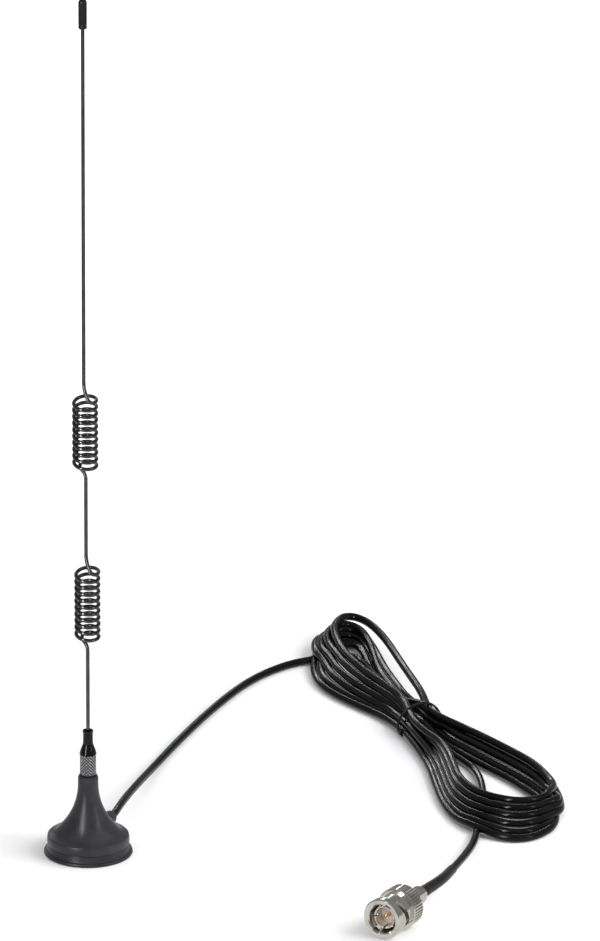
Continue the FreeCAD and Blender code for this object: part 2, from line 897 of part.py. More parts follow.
def tie_edges():
    """A loop round the waist with rounded corners, in the tie's own XZ plane."""
    half = number("tie_half_width")
    top = number("tie_height")
    foot = number("tie_radius")
    corner = number("tie_corner")
    centres = [(half - corner, foot + corner, -90), (half - corner, top - corner, 0),
               (corner - half, top - corner, 90), (corner - half, foot + corner, 180)]
    arcs = []
    for across, up, angle in centres:
        points = [
            FreeCAD.Vector(
                across + corner * math.cos(math.radians(angle + step)), 0,
                up + corner * math.sin(math.radians(angle + step)),
            )
            for step in (0, 45, 90)
        ]
        arcs.append(points)
    edges = []
    for i, points in enumerate(arcs):
        edges.append(Part.Arc(*points).toShape())
        edges.append(Part.LineSegment(points[2], arcs[(i + 1) % 4][0]).toShape())
    return edges


tie_loop = tie_edges()
tie_start = tie_loop[0].valueAt(tie_loop[0].FirstParameter)
hank_tie = shaped("hank_tie", swept_round(tie_loop, tie_start, FreeCAD.Vector(1, 0, 0), number("tie_radius")))
tie_place = hank_turn.multVec(FreeCAD.Vector(number("tie_x"), number("tie_y"), 0))
hank_tie.Placement = FreeCAD.Placement(
    FreeCAD.Vector(number("hank_x"), number("hank_y"), 0) + tie_place,
    FreeCAD.Rotation(UP, number("hank_azimuth") + 90 + number("tie_slant")),
)


# Plug: local Z runs back from the nut's front face, local X points up

plug_back = heading(number("plug_azimuth"))
plug_turn = FreeCAD.Rotation(UP, plug_back.cross(UP), plug_back, "ZXY")
plug_level = size("nut_ring_radius") + size("floor_play")


def place_plug(body):
    place(body, size("plug_x"), size("plug_y"), plug_level, plug_turn)


def plug_point(distance):
    """A point on the plug's axis, at a distance behind the nut's front face."""
    face = FreeCAD.Vector(number("plug_x"), number("plug_y"), plug_level.value)
    return face + plug_back * distance


lip_rear = size("nut_lip_front") + size("nut_lip")
flange_rear = size("body_flange_front") + size("body_flange")
chamfer = size("nut_chamfer")

coupling_nut = turned("coupling_nut", [
    (size("nut_bore") + size("nut_mouth_chamfer"), ZERO),
    (size("nut_collar_radius") - chamfer, ZERO),
    (size("nut_collar_radius"), chamfer),
    (size("nut_collar_radius"), size("nut_collar") - chamfer),
    (size("nut_collar_radius") - chamfer, size("nut_collar")),
    (size("nut_waist_radius"), size("nut_collar")),
    (size("nut_waist_radius"), size("nut_ring_front")),
    (size("nut_ring_radius") - chamfer, size("nut_ring_front")),
    (size("nut_ring_radius"), size("nut_ring_front") + chamfer),
    (size("nut_ring_radius"), size("nut_length") - chamfer),
    (size("nut_ring_radius") - chamfer, size("nut_length")),
    (size("nut_rear_bore"), size("nut_length")),
    (size("nut_rear_bore"), lip_rear),
    (size("body_neck_radius") + size("nut_lip_play"), lip_rear),
    (size("body_neck_radius") + size("nut_lip_play"), size("nut_lip_front")),
    (size("nut_bore"), size("nut_lip_front")),
    (size("nut_bore"), size("nut_mouth_chamfer")),
])

# Lead-in groove inside the mouth, then the spiral slot and its detent hole, twice
lead_in = new_sketch(coupling_nut, "lead_in_section", "XY_Plane")
half_slot = size("slot_width") / 2
draw_outline(lead_in, [
    (size("nut_bore") - size("slot_overlap"), -half_slot),
    (size("channel_radius"), -half_slot),
    (size("channel_radius"), half_slot),
    (size("nut_bore") - size("slot_overlap"), half_slot),
])
lead_in_cut = pocketed(coupling_nut, "lead_in", lead_in, size("slot_front"), forwards=True)
slot_section = new_sketch(coupling_nut, "slot_section", "XZ_Plane")
slot_top = size("nut_waist_radius") + size("slot_overlap")
draw_outline(slot_section, [
    (size("nut_bore") - size("slot_overlap"), size("slot_front") - half_slot),
    (slot_top, size("slot_front") - half_slot),
    (slot_top, size("slot_front") + half_slot),
    (size("nut_bore") - size("slot_overlap"), size("slot_front") + half_slot),
])
before_slot = coupling_nut.Shape.Volume
slot_cut = coupling_nut.newObject("PartDesign::SubtractiveHelix", "spiral_slot")
slot_cut.Profile = slot_section
slot_cut.ReferenceAxis = (slot_section, ["V_Axis"])
slot_cut.Mode = 0
slot_cut.setExpression("Pitch", "Sizes.slot_travel * 360 / Sizes.slot_angle")
slot_cut.setExpression("Height", "Sizes.slot_travel")
doc.recompute()
if not slot_cut.Shape.Volume < before_slot:
    raise ValueError("spiral_slot cut nothing")
detent_section = new_sketch(coupling_nut, "detent_section", "YZ_Plane", FreeCAD.Placement(
    FreeCAD.Vector(), FreeCAD.Rotation(FreeCAD.Vector(0, 1, 0), number("slot_angle"))
))
detent_section.setExpression("AttachmentOffset.Rotation.Angle", "Sizes.slot_angle")
draw_circle(detent_section, ZERO, size("slot_front") + size("slot_travel"), size("detent_radius"))
detent_cut = pocketed(coupling_nut, "detent_hole", detent_section, slot_top, forwards=True)
repeated(coupling_nut, "slot_pair", [lead_in_cut, slot_cut, detent_cut], size("slot_count"))

flute = new_sketch(coupling_nut, "flute_section", "XY_Plane")
flute.setExpression("AttachmentOffset.Base.z", "Sizes.nut_ring_front + Sizes.nut_chamfer")
draw_outline(flute, [
    (size("nut_ring_radius") - size("flute_depth"), ZERO),
    (size("nut_ring_radius") + size("flute_depth"), -size("flute_width")),
    (size("nut_ring_radius") + size("flute_depth"), size("flute_width")),
])
flute_cut = pocketed(coupling_nut, "flute", flute,
                     size("nut_length") - size("nut_ring_front") - chamfer * 2, forwards=True)
repeated(coupling_nut, "flutes", [flute_cut], size("flute_count"))
place(coupling_nut, size("plug_x"), size("plug_y"), plug_level,
      plug_turn.multiply(FreeCAD.Rotation(UP, number("nut_start_angle"))))

groove_front = lip_rear + size("fit")
groove_rear = groove_front + size("ring_groove")
plug_body = turned("plug_body", [
    (size("contact_radius"), size("body_flange_front")),
    (size("body_flange_radius"), size("body_flange_front")),
    (size("body_flange_radius"), flange_rear),
    (size("body_neck_radius"), flange_rear),
    (size("body_neck_radius"), groove_front),
    (size("ring_groove_radius"), groove_front),
    (size("ring_groove_radius"), groove_rear),
    (size("body_neck_radius"), groove_rear),
    (size("body_neck_radius"), size("body_tail_front")),
    (size("body_tail_radius"), size("body_tail_front")),
    (size("body_tail_radius"), size("body_tail_rear") - chamfer),
    (size("body_tail_radius") - chamfer, size("body_tail_rear")),
    (size("stem_outer_radius"), size("body_tail_rear")),
    (size("stem_outer_radius"), size("stem_end")),
    (size("stem_bore"), size("stem_end")),
    (size("stem_bore"), size("body_bore_end")),
    (size("body_bore"), size("body_bore_end")),
    (size("body_bore"), size("body_flange_front") + size("contact_seat")),
    (size("contact_radius"), size("body_flange_front") + size("contact_seat")),
])
place_plug(plug_body)

contact_rear = size("body_flange_front") + size("contact_seat")
contact_edge = size("contact_chamfer")
outer_contact = turned("outer_contact", [
    (size("contact_bore") + contact_edge, size("contact_front")),
    (size("contact_radius") - contact_edge, size("contact_front")),
    (size("contact_radius"), size("contact_front") + contact_edge),
    (size("contact_radius"), contact_rear),
    (size("contact_bore"), contact_rear),
    (size("contact_bore"), size("contact_front") + contact_edge),
])
finger_slot = new_sketch(outer_contact, "finger_slot_section", "XY_Plane")
finger_slot.setExpression("AttachmentOffset.Base.z", "Sizes.contact_front")
draw_outline(finger_slot, [
    (size("contact_bore") - size("slot_overlap"), -size("contact_slot") / 2),
    (size("contact_radius") + size("slot_overlap"), -size("contact_slot") / 2),
    (size("contact_radius") + size("slot_overlap"), size("contact_slot") / 2),
    (size("contact_bore") - size("slot_overlap"), size("contact_slot") / 2),
])
finger_cut = pocketed(outer_contact, "finger_slot", finger_slot, size("contact_slot_length"), forwards=True)
repeated(outer_contact, "finger_slots", [finger_cut], size("contact_slot_count"))
place_plug(outer_contact)

pin_bore = size("pin_radius") + size("fit")
insulator = turned("insulator", [
    (pin_bore, size("insulator_front")),
    (size("contact_bore") - size("fit"), size("insulator_front")),
    (size("contact_bore") - size("fit"), contact_rear),
    (size("body_bore") - size("fit"), contact_rear),
    (size("body_bore") - size("fit"), contact_rear + size("insulator_spigot")),
    (pin_bore, contact_rear + size("insulator_spigot")),
])
place_plug(insulator)

wire_hole = size("core_radius") + size("fit")
center_pin = turned("center_pin", [
    (ZERO, size("pin_front")),
    (size("pin_radius") - size("pin_nose"), size("pin_front")),
    (size("pin_radius"), size("pin_front") + size("pin_nose")),
    (size("pin_radius"), contact_rear + size("insulator_spigot")),
    (size("barrel_radius"), contact_rear + size("insulator_spigot")),
    (size("barrel_radius"), size("barrel_end")),
    (wire_hole, size("barrel_end")),
    (wire_hole, size("barrel_end") - size("barrel_socket")),
    (ZERO, size("barrel_end") - size("barrel_socket")),
])
place_plug(center_pin)

rear_bushing = turned("rear_bushing", [
    (size("barrel_radius") + size("fit"), contact_rear + size("insulator_spigot")),
    (size("body_bore") - size("fit"), contact_rear + size("insulator_spigot")),
    (size("body_bore") - size("fit"), size("body_bore_end")),
    (size("barrel_radius") + size("fit"), size("body_bore_end")),
])
place_plug(rear_bushing)

gasket_front = size("body_flange_front") - size("gasket_thickness")
gasket = turned("gasket", [
    (size("contact_radius") + size("fit"), gasket_front),
    (size("nut_bore") - size("gasket_play"), gasket_front),
    (size("nut_bore") - size("gasket_play"), size("body_flange_front")),
    (size("contact_radius") + size("fit"), size("body_flange_front")),
])
place_plug(gasket)

washer_front = size("nut_lip_front") - size("washer_thickness")
thrust_washer = turned("thrust_washer", [
    (size("body_neck_radius") + size("fit"), washer_front),
    (size("washer_radius"), washer_front),
    (size("washer_radius"), size("nut_lip_front")),
    (size("body_neck_radius") + size("fit"), size("nut_lip_front")),
])
place_plug(thrust_washer)

ring_front = groove_front + size("ring_play")
ring_rear = groove_rear - size("ring_play")
retaining_ring = turned("retaining_ring", [
    (size("ring_groove_radius") + size("fit"), ring_front),
    (size("ring_radius"), ring_front),
    (size("ring_radius"), ring_rear),
    (size("ring_groove_radius") + size("fit"), ring_rear),
])
ring_gap = new_sketch(retaining_ring, "ring_gap_section", "XY_Plane")
draw_outline(ring_gap, [
    (size("ring_groove_radius") - size("slot_overlap"), -size("ring_gap") / 2),
    (size("ring_radius") + size("slot_overlap"), -size("ring_gap") / 2),
    (size("ring_radius") + size("slot_overlap"), size("ring_gap") / 2),
    (size("ring_groove_radius") - size("slot_overlap"), size("ring_gap") / 2),
])
pocketed(retaining_ring, "ring_opening", ring_gap, ring_rear, forwards=True)
place_plug(retaining_ring)

cable_core = turned("cable_core", [
    (ZERO, size("barrel_end") - size("barrel_socket")),
    (size("core_radius"), size("barrel_end") - size("barrel_socket")),
    (size("core_radius"), size("dielectric_front")),
    (size("dielectric_radius"), size("dielectric_front")),
    (size("dielectric_radius"), size("jacket_front")),
    (size("cable_radius"), size("jacket_front")),
    (size("cable_radius"), size("ferrule_rear")),
    (ZERO, size("ferrule_rear")),
])
place_plug(cable_core)

jacket_bore = size("cable_radius") + size("fit")
crimp_ferrule = turned("crimp_ferrule", [
    (size("ferrule_bore"), size("body_tail_rear")),
    (size("ferrule_collar_radius"), size("body_tail_rear")),
    (size("ferrule_collar_radius"), size("hex_rear")),
    (size("ferrule_rim_radius"), size("hex_rear")),
    (size("ferrule_rim_radius"), size("ferrule_rear")),
    (jacket_bore, size("ferrule_rear")),
    (jacket_bore, size("jacket_front")),
    (size("ferrule_bore"), size("jacket_front")),
])
flat = new_sketch(crimp_ferrule, "flat_section", "XY_Plane")
flat.setExpression("AttachmentOffset.Base.z", "Sizes.hex_front")
flat_reach = size("ferrule_collar_radius") + size("slot_overlap")
draw_outline(flat, [
    (size("hex_flats") / 2, -flat_reach),
    (flat_reach, -flat_reach),
    (flat_reach, flat_reach),
    (size("hex_flats") / 2, flat_reach),
])
flat_cut = pocketed(crimp_ferrule, "crimp_flat", flat, size("hex_rear") - size("hex_front"), forwards=True)
repeated(crimp_ferrule, "crimp_flats", [flat_cut], size("hex_sides"))
place_plug(crimp_ferrule)


# Wave washer between the body's flange and the thrust washer

wave_middle = (flange_rear.value + washer_front.value) / 2
wave_radius = number("body_neck_radius") + number("fit") + number("wave_width") / 2
wave_points = []
WAVE_STEPS = 36
for step in range(WAVE_STEPS):
    turn = 2 * math.pi * step / WAVE_STEPS
    wave_points.append(FreeCAD.Vector(
        wave_radius * math.cos(turn),
        wave_radius * math.sin(turn),
        wave_middle + number("wave_amplitude") * math.cos(number("wave_count") * turn),
    ))
wave_line = Part.BSplineCurve()
wave_line.interpolate(Points=wave_points, PeriodicFlag=True)
half_width = number("wave_width") / 2
half_thick = number("wave_thickness") / 2
wave_corners = [
    wave_points[0] + FreeCAD.Vector(across, 0, up)
    for across, up in (
        (-half_width, -half_thick), (half_width, -half_thick), (half_width, half_thick), (-half_width, half_thick),
        (-half_width, -half_thick),
    )
]
wave_sweep = Part.BRepOffsetAPI.MakePipeShell(Part.Wire([wave_line.toShape()]))
wave_sweep.setBiNormalMode(UP)
wave_sweep.add(Part.makePolygon(wave_corners), False, False)
wave_sweep.build()
wave_sweep.makeSolid()
spring_washer = shaped("spring_washer", wave_sweep.shape())
spring_washer.Placement = FreeCAD.Placement(plug_point(0), plug_turn)


# Cable from the hank to the plug, and the shrunk sleeve over its end

TAIL_ROUTE = [
    (131.3, 20.0, 1.4),
    (130.4, 7.5, 1.6),
    (128.6, -6.0, 3.4),
    (125.2, -23.0, 5.7),
]
plug_end = plug_point(number("ferrule_rear"))
tail_corner = plug_point(number("ferrule_rear") + number("tail_run"))
tail_points = [FreeCAD.Vector(*p) for p in TAIL_ROUTE] + [tail_corner, plug_end]
cable_tail = cord("cable_tail", tail_points, number("cable_radius"))

sleeve_way = (tail_points[3] - tail_corner).normalize()
sleeve_points = [plug_end, tail_corner, tail_corner + sleeve_way * number("sleeve_run")]
sleeve_edges = rounded_route("heat_shrink", sleeve_points)


def tapered_tube(edges, first, last, first_radius, last_radius):
    """A rod along the edges whose radius changes evenly from one end to the other."""
    start_ring = Part.Wire([Part.Circle(first[0], first[1], first_radius).toShape()])
    end_ring = Part.Wire([Part.Circle(last[0], last[1], last_radius).toShape()])
    return Part.Wire(edges).makePipeShell([start_ring, end_ring], True, False)


sleeve_bore = number("cable_radius") + number("sleeve_fit")
sleeve_ends = [(plug_end, plug_back), (sleeve_points[2], sleeve_way)]
outer_rod = tapered_tube(sleeve_edges, sleeve_ends[0], sleeve_ends[1],
                         number("sleeve_front_radius"), number("sleeve_rear_radius"))
inner_rod = tapered_tube(sleeve_edges, sleeve_ends[0], sleeve_ends[1], sleeve_bore, sleeve_bore)
heat_shrink = shaped("heat_shrink", outer_rod.cut(inner_rod))


# Checks, then the files

def checked_parts():
    """Every labelled piece of the document, with its state and shape tested."""
    doc.recompute()
    for thing in doc.Objects:
        if "Invalid" in thing.State or "Error" in thing.State:
            raise ValueError(thing.Name + " failed: " + str(thing.State))
    parts = [
        thing for thing in doc.Objects
        if thing.TypeId == "PartDesign::Body" or thing.Name.startswith(("Shape_", "Cylinder_"))
    ]
    for part in parts:
        if part.Shape.isNull() or not part.Shape.isValid() or not part.Shape.Solids:
            raise ValueError(part.Label + " has no valid shape")
    return parts


os.makedirs("parts", exist_ok=True)
for part in checked_parts():
    part.Shape.exportStep("parts/%s.step" % part.Label)
    print(part.Label, "volume", round(part.Shape.Volume, 1))
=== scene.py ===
import math

import bpy
import numpy as np
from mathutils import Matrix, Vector


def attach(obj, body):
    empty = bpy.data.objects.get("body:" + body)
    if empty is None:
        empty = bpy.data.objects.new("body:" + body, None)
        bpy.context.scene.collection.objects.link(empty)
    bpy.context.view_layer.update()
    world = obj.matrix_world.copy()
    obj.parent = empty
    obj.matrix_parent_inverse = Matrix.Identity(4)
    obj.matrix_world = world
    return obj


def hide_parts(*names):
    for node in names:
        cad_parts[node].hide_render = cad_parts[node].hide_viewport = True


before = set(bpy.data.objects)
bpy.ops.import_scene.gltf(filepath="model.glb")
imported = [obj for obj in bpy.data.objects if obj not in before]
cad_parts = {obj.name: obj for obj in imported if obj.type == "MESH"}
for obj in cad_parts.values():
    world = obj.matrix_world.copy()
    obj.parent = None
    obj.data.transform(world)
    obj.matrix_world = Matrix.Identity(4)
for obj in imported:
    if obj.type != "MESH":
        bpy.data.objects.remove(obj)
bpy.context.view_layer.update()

# Boot: the soft ring and disc that the antenna stands in. It is moulded in black rubber with a thin flared
# lip, and is stretched over the bell's rim, so that the magnet grips a roof without scratching it.

MM = 0.001
REFRACTION = 1.5
MATERIALS = {}


class Socket:
    """A shader output that is added, multiplied and mixed like a number."""

    def __init__(self, tree, output):
        self.tree = tree
        self.output = output

    def node(self, kind, settings=None, out=0, **inputs):
        """A node of that kind. An input is named as its socket, with _ for a space, or numbered as i0, i1."""
        made = self.tree.nodes.new(kind)
        for name, value in (settings or {}).items():
            setattr(made, name, value)
        for name, value in inputs.items():
            numbered = name[0] == "i" and name[1:].isdigit()
            socket = made.inputs[int(name[1:]) if numbered else name.replace("_", " ")]
            if isinstance(value, Socket):
                self.tree.links.new(value.output, socket)
            else:
                socket.default_value = value
        return Socket(self.tree, made.outputs[out])

    def math(self, operation, first, second):
        return self.node("ShaderNodeMath", {"operation": operation}, i0=first, i1=second)

    def __add__(self, other):
        return self.math("ADD", self, other)

    def __sub__(self, other):
        return self.math("SUBTRACT", self, other)

    def __rsub__(self, other):
        return self.math("SUBTRACT", other, self)

    def __mul__(self, other):
        return self.math("MULTIPLY", self, other)

    def __abs__(self):
        return self.math("ABSOLUTE", self, 0.0)

    __radd__ = __add__
    __rmul__ = __mul__

    def ramp(self, low, high, first, last):
        """first where the value is low or less, last where it is high or more, smooth between."""
        return self.node("ShaderNodeMapRange", {"interpolation_type": "SMOOTHSTEP"},
                         Value=self, From_Min=low, From_Max=high, To_Min=first, To_Max=last)

    def tint(self, first, last):
        """A colour from first to last as the value goes from 0 to 1."""
        return self.node("ShaderNodeMix", {"data_type": "RGBA"}, 2,
                         i0=self, i6=(*first, 1.0), i7=(*last, 1.0))


def material(slot, color, roughness, metallic=0.0, coat=0.0, coat_roughness=0.1):
    """The slot's new material: its shader, and the object's coordinates that its patterns start from."""
    made = bpy.data.materials.new("dressed_" + slot)
    MATERIALS[slot] = made
    made.use_nodes = True
    tree = made.node_tree
    shader = tree.nodes["Principled BSDF"]
    plain = {"Base Color": (*color, 1.0), "Roughness": roughness, "Metallic": metallic, "Coat Weight": coat,
             "Coat Roughness": coat_roughness, "IOR": REFRACTION}
    for name, value in plain.items():
        shader.inputs[name].default_value = value
    return shader, Socket(tree, tree.nodes.new("ShaderNodeTexCoord").outputs["Object"])


def feed(shader, name, value):
    value.tree.links.new(value.output, shader.inputs[name])


def noise(start, grains, detail=4.0):
    """Noise with that many grains in a millimetre."""
    return start.node("ShaderNodeTexNoise", Vector=start, Scale=grains / MM, Detail=detail, Roughness=0.6)


def bump(shader, height, strength, distance):
    feed(shader, "Normal", height.node("ShaderNodeBump", Height=height, Strength=strength, Distance=distance))


def black_material(slot, color, roughness, grains, depth, shine=0.3, spread=0.12):
    """Black plastic or rubber: a fine moulded grain, and handling marks that lighten and dull it a little."""
    shader, start = material(slot, color, roughness, coat_roughness=0.08)
    shader.inputs["Specular IOR Level"].default_value = shine
    grain = noise(start, grains)
    marks = noise(start, 0.12, 3.0)
    feed(shader, "Roughness", marks.ramp(0.35, 0.65, roughness - spread / 2.0, roughness + spread / 2.0))
    lighter = tuple(c * 1.5 + 0.001 for c in color)
    feed(shader, "Base Color", marks.ramp(0.3, 0.7, 0.0, 1.0).tint(color, lighter))
    bump(shader, grain, 0.35, depth)


def mesh_piece(name, points, faces, slot, body):
    """A smooth surface of those points, in metres, and faces."""
    mesh = bpy.data.meshes.new(name)
    mesh.from_pydata(points.tolist(), [], faces)
    mesh.update()
    mesh.materials.append(MATERIALS[slot])
    mesh.polygons.foreach_set("use_smooth", [True] * len(mesh.polygons))
    piece = bpy.data.objects.new(name, mesh)
    bpy.context.scene.collection.objects.link(piece)
    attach(piece, body)
    return piece


def ring_faces(rows, columns, closed_rows):
    """Faces of a grid whose columns close round: each joins a point, the one beside it and the two above."""
    row, column = np.meshgrid(np.arange(rows if closed_rows else rows - 1), np.arange(columns), indexing="ij")
    above, beside = (row + 1) % rows, (column + 1) % columns
    corners = [row * columns + column, row * columns + beside,
               above * columns + beside, above * columns + column]
    return np.stack(corners, axis=2).reshape(-1, 4)


def rounded(profile, reach, steps=4):
    """Each corner becomes a bend: start (1-t) squared + corner 2t(1-t) + end t squared.

    The bend starts and ends at reach from the corner, or at 0.45 of the shorter side.
    """
    line = np.array(profile, float)
    corner = line[1:-1]
    back, on = line[:-2] - corner, line[2:] - corner
    back_length = np.linalg.norm(back, axis=1, keepdims=True)
    on_length = np.linalg.norm(on, axis=1, keepdims=True)
    cut = np.minimum(reach, 0.45 * np.minimum(back_length, on_length))
    start, end = corner + back / back_length * cut, corner + on / on_length * cut
    t = np.linspace(0.0, 1.0, steps)[:, None, None]
    bends = start * (1.0 - t) ** 2 + corner * 2.0 * t * (1.0 - t) + end * t ** 2
    return np.vstack([line[:1], bends.transpose(1, 0, 2).reshape(-1, 2), line[-1:]])


def lathe(name, line, slot, body="base", columns=96, change=None,
          origin=(0.0, 0.0, 0.0), way=(0.0, 0.0, 1.0)):
    """A profile of radius r and distance d turned round an axis: origin + r cos a side + r sin a up + d way.

    Side and up are square to the axis. A radius of 0 at an end closes it, and without one the profile closes
    on itself.
    """
    way = np.array(way)
    side = np.array([1.0, 0.0, 0.0]) if way[2] > 0.9 else np.array([-way[1], way[0], 0.0])
    axes = np.array([side, np.cross(way, side), way])
    foot_pole, head_pole = line[0][0] < 1e-9, line[-1][0] < 1e-9
    ring = line[int(foot_pole):len(line) - int(head_pole)]
    turn = np.linspace(0.0, 2.0 * math.pi, columns, endpoint=False)[None, :]
    radius, height = ring[:, :1] + 0.0 * turn, ring[:, 1:] + 0.0 * turn
    if change is not None:
        radius = change(radius, height, turn)
    points = np.stack([radius * np.cos(turn), radius * np.sin(turn), height], axis=2).reshape(-1, 3)
    faces = ring_faces(len(ring), columns, not (foot_pole or head_pole)).tolist()
    foot = np.arange(columns)
    foot_on = (foot + 1) % columns
    if foot_pole:
        faces += np.column_stack([np.full(columns, len(points)), foot_on, foot]).tolist()
        points = np.vstack([points, [0.0, 0.0, line[0][1]]])
    if head_pole:
        head, head_on = foot + (len(ring) - 1) * columns, foot_on + (len(ring) - 1) * columns
        faces += np.column_stack([np.full(columns, len(points)), head, head_on]).tolist()
        points = np.vstack([points, [0.0, 0.0, line[-1][1]]])
    return mesh_piece(name, (points @ axes + np.array(origin)) * MM, faces, slot, body)


black_material("boot_rubber", (0.015, 0.015, 0.018), 0.4, 7.0, 0.00003, shine=0.4)
boot_line = rounded(
    [(0.0, 0.6), (12.9, 0.6), (13.0, 0.7), (13.0, 3.0), (13.1, 3.36), (13.66, 3.38), (13.74, 2.9), (13.92, 2.1),
     (14.06, 1.5), (14.32, 1.24), (14.8, 1.06), (15.0, 0.6), (15.0, 0.2), (14.8, 0.0), (0.0, 0.0)],
    0.12)
boot = lathe("boot", boot_line, "boot_rubber", columns=160)
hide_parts("foot_boot")

# Magnet and pole plate: a sintered ring magnet in the foot, and the pressed steel plate over it that closes
# its field and carries the mast's insert. Both are glued into the bell and hidden.


def metal_material(slot, color, shade, roughness, grains, depth):
    """Drawn or turned metal: a fine grain in its gloss, and patches where it has tarnished to the shade."""
    shader, start = material(slot, color, roughness, metallic=1.0)
    grain = noise(start, grains, 2.0)
    tarnish = noise(start, 0.25)
    feed(shader, "Base Color", tarnish.ramp(0.35, 0.7, 0.0, 1.0).tint(color, shade))
    feed(shader, "Roughness", grain.ramp(0.3, 0.7, roughness * 0.75, roughness * 1.3))
    bump(shader, grain, 0.25, depth)


def dress(slot, *nodes):
    """Gives solids that are carried over as they are the slot's material."""
    for node in nodes:
        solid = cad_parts[node].data
        solid.materials.clear()
        solid.materials.append(MATERIALS[slot])


metal_material("magnet_grey", (0.16, 0.16, 0.165), (0.1, 0.1, 0.1), 0.6, 4.0, 0.00003)
dress("magnet_grey", "magnet")
metal_material("plate_steel", (0.6, 0.6, 0.61), (0.45, 0.45, 0.45), 0.3, 2.0, 0.00001)
dress("plate_steel", "pole_plate")

# Bell: the base's body, moulded in one piece in satin black plastic. Its flare is one arc from the shoulder
# to the neck, and its nearly upright wall, with faint ribs from the mould, stands in the boot.

WALL_FOOT, WALL_TOP, WALL_WIDTH = 3.6, 6.2, 13.9
WALL_BULGE = 0.12
RIB_PITCH, RIB_DEPTH = 0.38, 0.012
SHOULDER, NECK_RADIUS, NECK_LEVEL = (11.5, 7.5), 3.47, 25.0


def ribs(radius, height, turn):
    """r + depth sin(2 pi z / pitch) on the wall."""
    wall = (height > WALL_FOOT) & (height < WALL_TOP) & (radius > 13.0)
    return radius + wall * RIB_DEPTH * np.sin(height * 2.0 * math.pi / RIB_PITCH)


wall_level = np.linspace(WALL_FOOT, WALL_TOP, 67)
wall_half = (WALL_TOP - WALL_FOOT) / 2.0
bell_wall = np.column_stack([
    WALL_WIDTH - WALL_BULGE * ((wall_level - WALL_FOOT - wall_half) / wall_half) ** 2, wall_level])
# The arc is upright at the neck: its radius is (width squared + rise squared) / 2 width
flare_width, flare_rise = SHOULDER[0] - NECK_RADIUS, NECK_LEVEL - SHOULDER[1]
flare_round = (flare_width ** 2 + flare_rise ** 2) / (2.0 * flare_width)
drop = np.linspace(flare_rise, 0.0, 40)
flare = np.column_stack([
    NECK_RADIUS + flare_round - np.sqrt(flare_round ** 2 - drop ** 2), NECK_LEVEL - drop])
bell_line = np.vstack([
    rounded([(12.15, 5.2), (12.15, 0.7), (12.55, 0.62), (12.9, 0.7), (12.95, 3.36), (13.6, 3.42),
             bell_wall[0]], 0.1),
    bell_wall[1:],
    rounded([bell_wall[-1], (13.7, 6.55), (12.6, 6.98), SHOULDER], 0.3, 6)[1:],
    flare[1:],
    rounded([flare[-1], (3.45, 27.5), (3.05, 27.6), (2.7, 27.6), (2.66, 16.0), (9.0, 5.4)], 0.22)[1:],
])
black_material("shell_black", (0.02, 0.02, 0.023), 0.34, 5.0, 0.00003, shine=0.4)
bell = lathe("bell", bell_line, "shell_black", columns=160, change=ribs)
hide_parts("base_shell")

# Cable boss: a short sleeve of the bell's own plastic, moulded on its flank and rounded at its mouth. The
# cable leaves through it, held in its bore.

BOSS_LEVEL, BOSS_MOUTH = 7.6, 15.0
BOSS_AZIMUTH = math.radians(59.0)
BOSS_WAY = Vector((math.cos(BOSS_AZIMUTH), math.sin(BOSS_AZIMUTH), 0.0))
boss_line = rounded(
    [(1.5, 8.6), (2.35, 8.6), (2.35, 13.9), (2.3, 14.6), (2.05, BOSS_MOUTH), (1.6, BOSS_MOUTH), (1.42, 14.8),
     (1.42, 9.0)],
    0.25, 5)
lathe("cable_boss", boss_line, "shell_black", columns=48, origin=(0.0, 0.0, BOSS_LEVEL), way=BOSS_WAY)

# Insert, bush and neck washer: a turned brass insert with the mast's thread, a moulded bush that keeps it off
# the grounded plate, and the thin rubber washer that the ferrule is screwed down on.


def pale_material(slot, color, shade):
    """Soft pale plastic, turned or moulded, faintly cloudy."""
    shader, start = material(slot, color, 0.45, coat=0.1)
    cloud = noise(start, 0.4, 3.0)
    feed(shader, "Base Color", cloud.ramp(0.35, 0.7, 0.0, 1.0).tint(color, shade))
    bump(shader, noise(start, 4.0), 0.3, 0.00001)


metal_material("brass_turned", (0.78, 0.58, 0.26), (0.6, 0.42, 0.17), 0.24, 3.0, 0.00001)
dress("brass_turned", "mast_socket")
pale_material("insulator_white", (0.86, 0.86, 0.84), (0.8, 0.79, 0.76))
dress("insulator_white", "socket_bush")
dress("boot_rubber", "neck_seal")

# Ferrule: the mast's foot, turned from brass and black chromed, with a diamond knurled grip whose tips are
# painted near white as highlights, a cone, a stem with a turned rim that the wire is pressed into, and a
# threaded stud below.

GRIP_FOOT, GRIP_TOP, GRIP_RADIUS = 28.3, 35.85, 2.9
KNURL_GROOVES, KNURL_RISE, KNURL_DEPTH = 16.0, 1.12, 0.36
STUD_RADIUS, THREAD_PITCH, THREAD_DEPTH = 1.9, 0.7, 0.3
# The thread's ends lie between rows of the profile, which stand 0.1 apart
THREAD_FOOT, THREAD_TOP = 22.55, 27.65
# Painted highlight: knurl tips where the groove is shallower than the first value are coloured near white, up
# to the second value, between the two heights
GLINT_FROM, GLINT_MOST, GLINT_FOOT, GLINT_TOP = 0.52, 0.9, 28.6, 35.6


def zigzag(turns):
    """From 1 at each whole turn to 0 half way to the next: twice the distance of the fraction from a half."""
    return np.abs(turns % 1.0 - 0.5) * 2.0


def knurl_depth(height, turn):
    """From 0 at a diamond's tip to 1 in a groove: the larger of two crossing zigzags, on the grip only."""
    grip = np.clip((height - GRIP_FOOT) / 0.3, 0.0, 1.0) * np.clip((GRIP_TOP - height) / 0.3, 0.0, 1.0)
    round_turns, rise_turns = turn * KNURL_GROOVES / (2.0 * math.pi), height / KNURL_RISE
    return grip * np.maximum(zigzag(round_turns + rise_turns), zigzag(round_turns - rise_turns))


